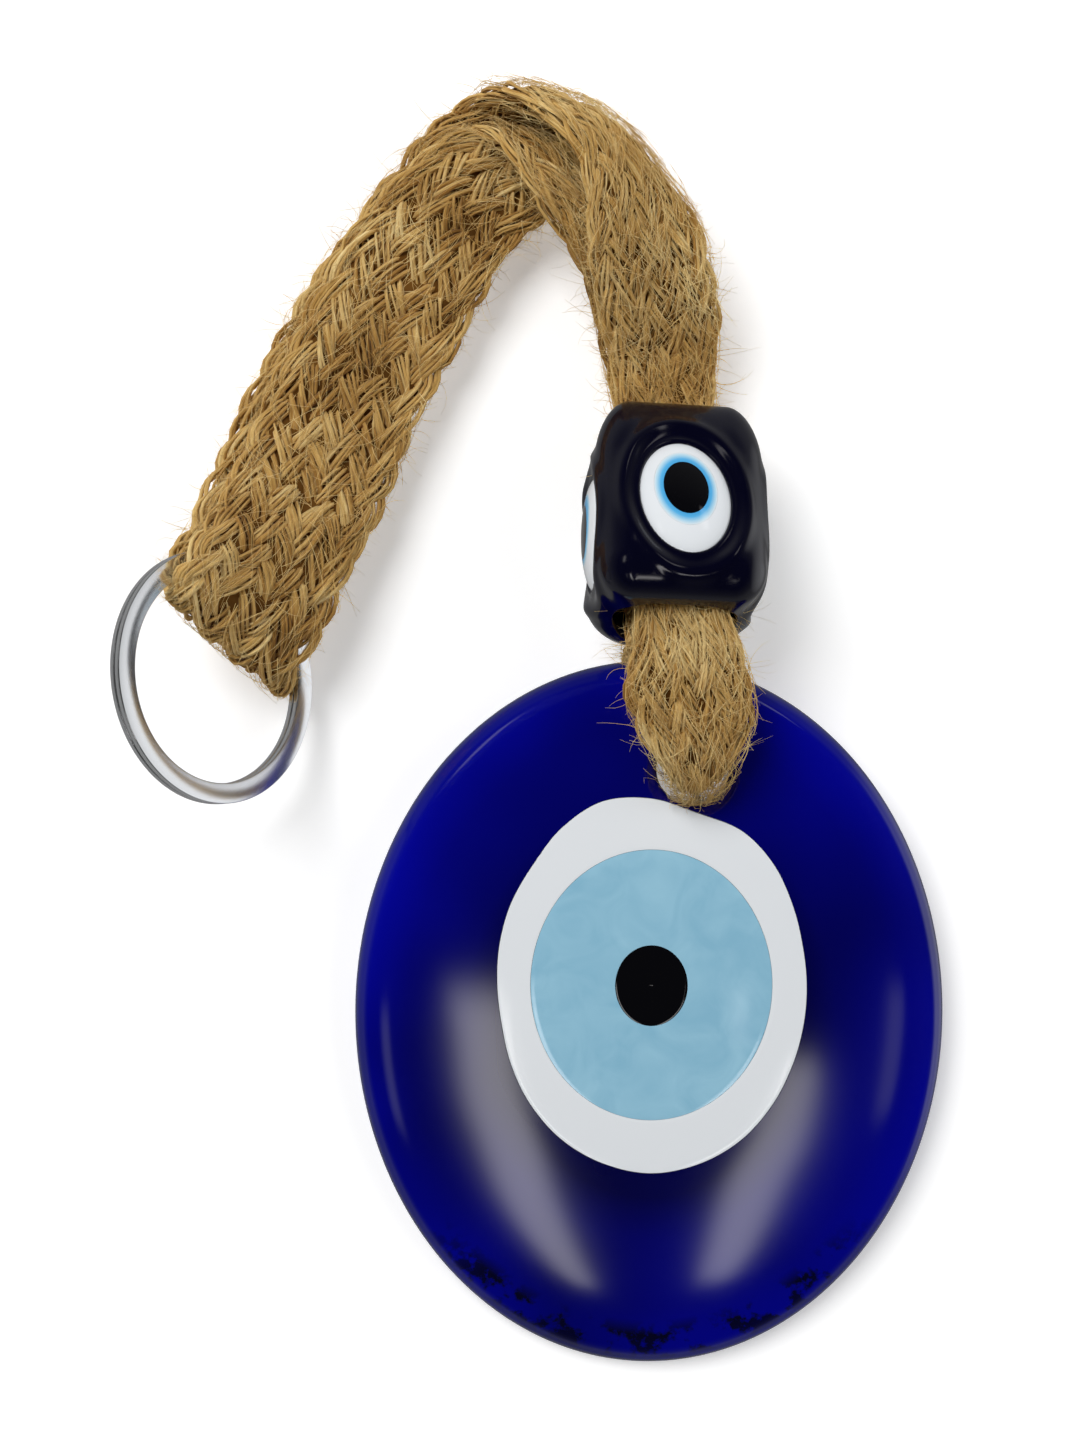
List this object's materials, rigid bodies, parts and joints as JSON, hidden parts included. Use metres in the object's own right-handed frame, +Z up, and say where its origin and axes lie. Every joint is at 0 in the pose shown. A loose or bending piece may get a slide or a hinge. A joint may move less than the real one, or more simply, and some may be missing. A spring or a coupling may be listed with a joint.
{
  "type": "evil eye hanging ornament",
  "caption": "Oval glass eye disc hung from a doubled braided jute strap, with a cube glass eye bead threaded on the strap and a steel split ring in its end fold.",
  "frame": {"origin": "on the resting plane, under the middle of the oval disc's bounding box", "axes": "+Y along the disc's length towards its hole and the strap, +X across the disc, +Z up from the resting plane through the disc's front face"},
  "size_m": [0.1095, 0.1759, 0.0311],
  "materials": {
    "cobalt_glass": "polished cast cobalt-blue glass with fine seeds and dark specks near the rim",
    "opal_glass": "glossy opaque white glass",
    "pale_blue_glass": "glossy opaque pale blue glass with faint streaks",
    "sky_blue_glass": "glossy sky-blue glass that bleeds softly into the white",
    "black_glass": "glossy black glass",
    "night_blue_glass": "glossy near-black navy glass",
    "jute": "coarse natural jute braid, hairy, tan to golden brown",
    "glue": "dried amber glue",
    "ring_steel": "bright nickel-plated spring steel"
  },
  "bodies": {
    "disc": {"disc_glass": "cobalt_glass", "disc_eye_white": "opal_glass", "disc_eye_iris": "pale_blue_glass", "disc_eye_pupil": "black_glass"},
    "strap": {"strap_front_tongue": "jute", "strap_back_loop": "jute", "strap_hole_core": "jute", "strap_outer_rise": "jute", "strap_inner_rise": "jute", "strap_glue_seam": "glue", "strap_outer_bend": "jute", "strap_inner_bend": "jute", "strap_outer_limb": "jute", "strap_inner_limb": "jute", "strap_outer_end": "jute", "strap_inner_end": "jute", "strap_ring_fold": "jute"},
    "bead": {"bead_body": "night_blue_glass", "bead_eye_front_white": "opal_glass", "bead_eye_front_blue": "sky_blue_glass", "bead_eye_front_pupil": "black_glass", "bead_eye_right_white": "opal_glass", "bead_eye_right_blue": "sky_blue_glass", "bead_eye_right_pupil": "black_glass", "bead_eye_back_white": "opal_glass", "bead_eye_back_blue": "sky_blue_glass", "bead_eye_back_pupil": "black_glass", "bead_eye_left_white": "opal_glass", "bead_eye_left_blue": "sky_blue_glass", "bead_eye_left_pupil": "black_glass"},
    "ring": {"split_ring": "ring_steel"}
  },
  "joints": [
    {"name": "disc_swing", "type": "hinge", "parent": "disc", "child": "strap", "pos_m": [0.0057, 0.0439, 0.0087], "axis": [1, 0, 0], "range_deg": [-60, 60], "deforming": ["strap_front_tongue", "strap_back_loop", "strap_hole_core"]},
    {"name": "bead_slide", "type": "slide", "parent": "strap", "child": "bead", "axis": [0, 0.9063, -0.4226], "range_m": [0, 0.004]},
    {"name": "ring_swing", "type": "hinge", "parent": "strap", "child": "ring", "pos_m": [-0.0539, 0.0554, 0.0113], "axis": [0.5422, -0.5981, -0.5901], "range_deg": [-60, 80], "deforming": ["strap_ring_fold", "strap_outer_end", "strap_inner_end"]}
  ]
}
